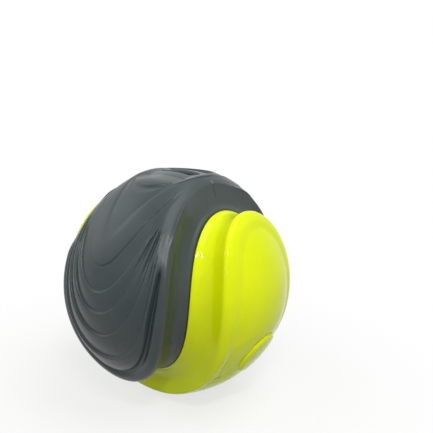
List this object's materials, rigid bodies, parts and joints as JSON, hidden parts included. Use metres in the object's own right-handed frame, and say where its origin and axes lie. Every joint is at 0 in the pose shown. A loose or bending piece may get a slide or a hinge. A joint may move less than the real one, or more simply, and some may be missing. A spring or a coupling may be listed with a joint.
{
  "type": "whistling dog ball",
  "caption": "Hollow rubber fetch ball for dogs: two interlocking U-shaped shells with scale-like waves, and a slot that whistles in flight.",
  "frame": {"origin": "centre of the ball", "axes": "+Z out of the whistle slot, +X out of one yellow cap along the slot's length, +Y out of one grey tongue"},
  "size_m": [0.0744, 0.075, 0.0737],
  "materials": {
    "grey_rubber": "satin",
    "yellow_rubber": "semi-gloss, slightly translucent"
  },
  "bodies": {
    "root": {"grey_whistle_shell": "grey_rubber", "yellow_cap_shell": "yellow_rubber"}
  },
  "joints": []
}
